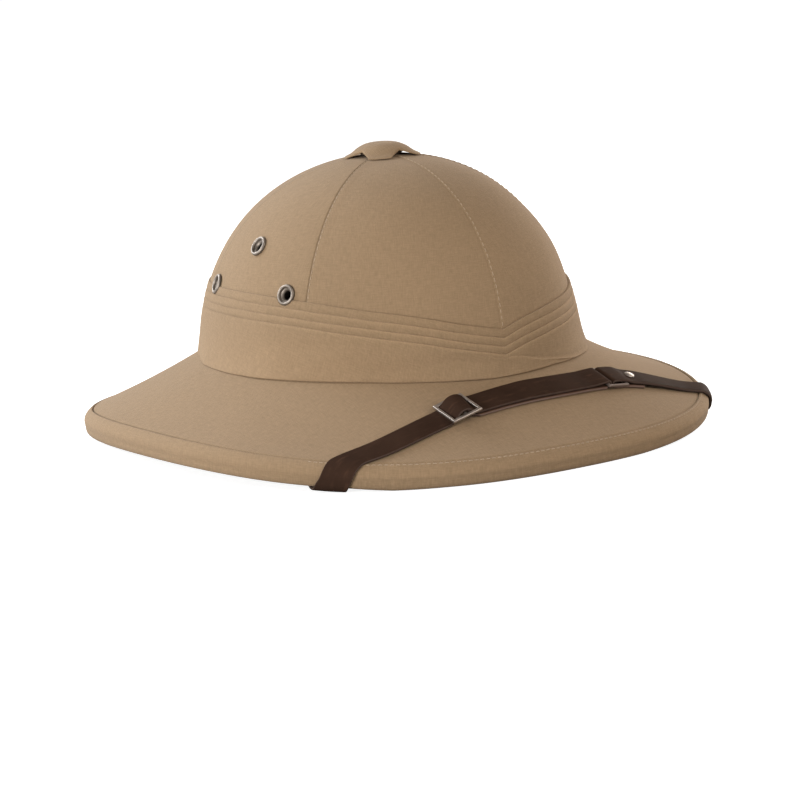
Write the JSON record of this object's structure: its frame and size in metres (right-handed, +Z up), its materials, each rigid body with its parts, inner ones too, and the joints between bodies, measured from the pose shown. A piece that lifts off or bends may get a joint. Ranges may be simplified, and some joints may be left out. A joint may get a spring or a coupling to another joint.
{
  "type": "pith helmet",
  "caption": "Cloth-covered pith helmet with a pleated wound band, a footed vent cap, side eyelets and a leather chin strap buckled up over its front brim.",
  "frame": {"origin": "on the level surface that the helmet rests on, under the middle of its rim", "axes": "+Z up through the crown, -Y out of the helmet's front, +X towards the wearer's left"},
  "size_m": [0.3096, 0.3538, 0.1556],
  "materials": {
    "khaki_cotton": "matte plain-woven cotton twill, sewn and glued over the shell",
    "pith": "matte pressed pith",
    "dark_leather": "smooth dark brown leather with polished cut edges",
    "nickel": "nickel-plated, satin to bright"
  },
  "bodies": {
    "root": {"helmet_shell": "pith", "crown_gore_1": "khaki_cotton", "crown_gore_2": "khaki_cotton", "crown_gore_3": "khaki_cotton", "crown_gore_4": "khaki_cotton", "crown_gore_5": "khaki_cotton", "crown_gore_6": "khaki_cotton", "brim_cover": "khaki_cotton", "rim_binding": "khaki_cotton", "wound_band": "khaki_cotton", "vent_cap": "khaki_cotton", "cap_post": "pith", "eyelet_right_1": "nickel", "eyelet_right_2": "nickel", "eyelet_right_3": "nickel", "eyelet_left_1": "nickel", "eyelet_left_2": "nickel", "eyelet_left_3": "nickel", "strap_long": "dark_leather", "strap_short": "dark_leather", "slider_buckle": "nickel", "strap_ring": "nickel", "strap_rivet": "nickel", "strap_anchor_right": "nickel", "strap_anchor_left": "nickel"}
  },
  "joints": []
}
